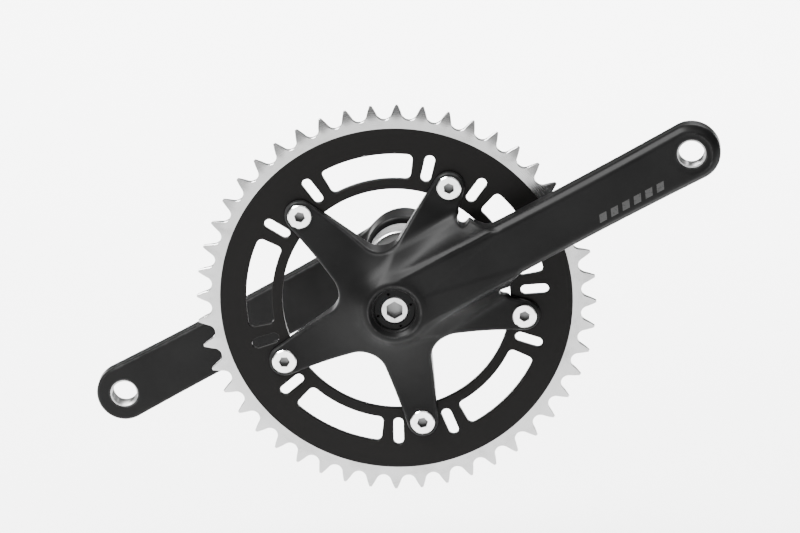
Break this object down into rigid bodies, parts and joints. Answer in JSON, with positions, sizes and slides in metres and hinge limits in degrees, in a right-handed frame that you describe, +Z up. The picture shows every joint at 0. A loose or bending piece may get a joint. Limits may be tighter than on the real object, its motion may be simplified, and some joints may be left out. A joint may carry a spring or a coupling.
{
  "type": "bicycle crankset",
  "caption": "Bicycle crankset: black alloy crank arms, a five-arm spider with bolted chainring, and a square-taper cartridge bottom bracket whose bearings let the arms turn.",
  "frame": {"origin": "on the crank axle, in the middle of the frame's 68 mm bottom-bracket shell", "axes": "+X forward, +Y along the axle to the rider's left, +Z up; the drive side is at -Y"},
  "size_m": [0.3264, 0.1458, 0.2014],
  "materials": {
    "black_anodised": "satin black anodised forging",
    "ring_black_and_bare": "satin black anodised face, bare machined rim and teeth",
    "bright_bolt": "bright plated steel",
    "spindle_steel": "ground steel",
    "cup_steel": "plated steel",
    "dark_steel": "black oxide steel",
    "black_ring": "satin black anodised",
    "bearing_steel": "polished bearing steel",
    "seal_rubber": "matt black rubber",
    "cage_brass": "pressed brass"
  },
  "bodies": {
    "bottom_bracket": {"bb_cartridge_sleeve": "cup_steel", "bb_cup_drive": "cup_steel", "bb_cup_left": "cup_steel", "outer_race_drive": "bearing_steel", "outer_race_left": "bearing_steel", "seal_outboard_drive": "seal_rubber", "seal_inboard_drive": "seal_rubber", "seal_outboard_left": "seal_rubber", "seal_inboard_left": "seal_rubber"},
    "crank": {"spindle": "spindle_steel", "inner_spacer": "spindle_steel", "inner_race_drive": "bearing_steel", "inner_race_left": "bearing_steel", "crank_arm_drive": "black_anodised", "spider": "black_anodised", "crank_arm_left": "black_anodised", "chainring": "ring_black_and_bare", "chainring_bolts": "bright_bolt", "chainring_nuts": "bright_bolt", "crank_bolt_drive": "bright_bolt", "crank_bolt_left": "bright_bolt", "crank_bolt_washer_drive": "dark_steel", "crank_bolt_washer_left": "dark_steel", "extractor_ring_drive": "black_ring", "extractor_ring_left": "black_ring"},
    "cage_drive": {"bearing_cage_drive": "cage_brass", "bearing_balls_drive": "bearing_steel"},
    "cage_left": {"bearing_cage_left": "cage_brass", "bearing_balls_left": "bearing_steel"}
  },
  "joints": [
    {"name": "crank_spin", "type": "hinge", "parent": "bottom_bracket", "child": "crank", "pos_m": [0, 0, 0], "axis": [0, 1, 0], "continuous": true},
    {"name": "cage_drive_spin", "type": "hinge", "parent": "bottom_bracket", "child": "cage_drive", "pos_m": [0, -0.024, 0], "axis": [0, 1, 0], "continuous": true},
    {"name": "cage_left_spin", "type": "hinge", "parent": "bottom_bracket", "child": "cage_left", "pos_m": [0, 0.024, 0], "axis": [0, 1, 0], "continuous": true}
  ],
  "couplings": [
    {"joint": "cage_drive_spin", "follows": "crank_spin", "ratio": 0.4155},
    {"joint": "cage_left_spin", "follows": "crank_spin", "ratio": 0.4155}
  ]
}
